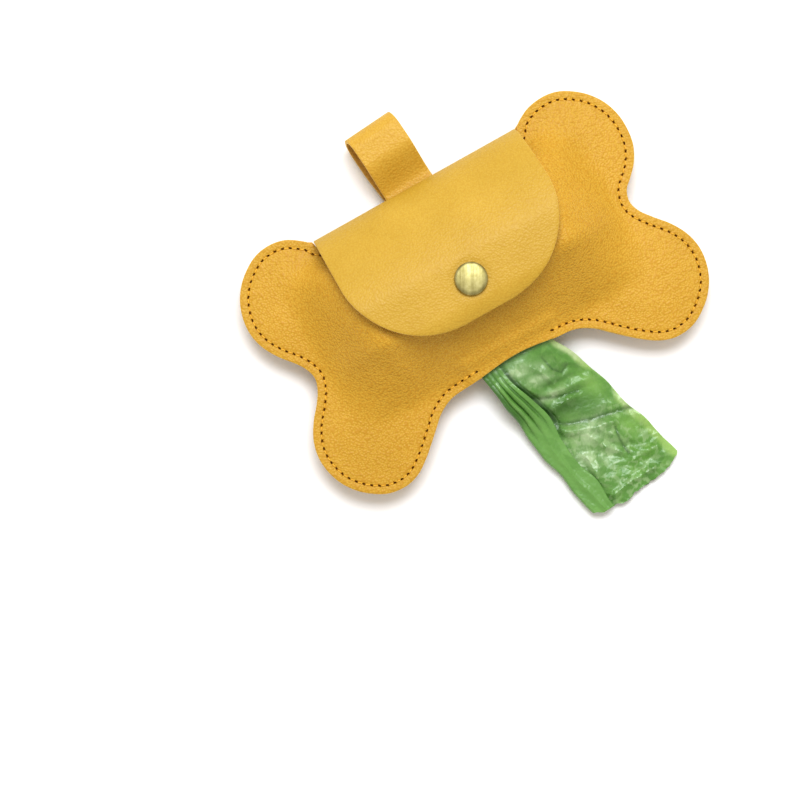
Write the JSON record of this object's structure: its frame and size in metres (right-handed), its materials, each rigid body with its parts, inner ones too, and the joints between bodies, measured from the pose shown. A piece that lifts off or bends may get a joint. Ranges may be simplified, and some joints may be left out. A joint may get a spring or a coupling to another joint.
{
  "type": "dog waste bag dispenser pouch",
  "caption": "Bone-shaped leather pouch that holds a roll of waste bags, with a snap flap, a bag slot and a strap that loops round a leash.",
  "frame": {"origin": "middle of the flat of the back panel's belly, where the pouch rests when it lies on its back, under the middle of the bone", "axes": "+X along the bone to the right, +Y towards the strap loop that hangs on the leash, +Z out of the front, away from what it lies on"},
  "size_m": [0.14, 0.1487, 0.0322],
  "materials": {
    "leather": "fine-grained satin",
    "thread": "waxed thread",
    "snap_brass": "antique, brushed",
    "spring_wire": "drawn wire",
    "bag_film": "thin glossy film",
    "core_board": "matte kraft board"
  },
  "bodies": {
    "pouch": {"back_panel": "leather", "front_panel": "leather", "strap_root": "leather", "flap_snap_stud": "snap_brass", "flap_snap_post": "snap_brass", "strap_snap_stud": "snap_brass", "strap_snap_post": "snap_brass", "seam_stitching_left": "thread", "seam_stitching_right": "thread", "strap_stitching": "thread"},
    "flap": {"flap": "leather", "flap_snap_cap": "snap_brass", "flap_snap_socket": "snap_brass", "flap_snap_spring": "spring_wire"},
    "strap_end": {"strap_tail": "leather", "strap_snap_cap": "snap_brass", "strap_snap_socket": "snap_brass", "strap_snap_spring": "spring_wire"},
    "roll": {"bag_roll": "bag_film", "roll_core": "core_board"},
    "bag": {"leading_bag": "bag_film"}
  },
  "joints": [
    {"name": "flap_open", "type": "hinge", "parent": "pouch", "child": "flap", "pos_m": [0, 0.03855, 0.0081], "axis": [-1, 0, 0], "range_deg": [0, 90]},
    {"name": "strap_open", "type": "hinge", "parent": "pouch", "child": "strap_end", "pos_m": [-0.00333, 0.06288, 0.0033], "axis": [0.9966, 0.0819, 0], "range_deg": [0, 180]},
    {"name": "bag_pull", "type": "slide", "parent": "pouch", "child": "bag", "axis": [0.2974, -0.9548, 0], "range_m": [0, 0.012]},
    {"name": "roll_spin", "type": "hinge", "parent": "pouch", "child": "roll", "pos_m": [0, 0.003, 0.0131], "axis": [1, 0, 0], "range_deg": [0, 60]}
  ],
  "couplings": [
    {"joint": "roll_spin", "follows": "bag_pull", "rad_per_m": 86.957}
  ]
}
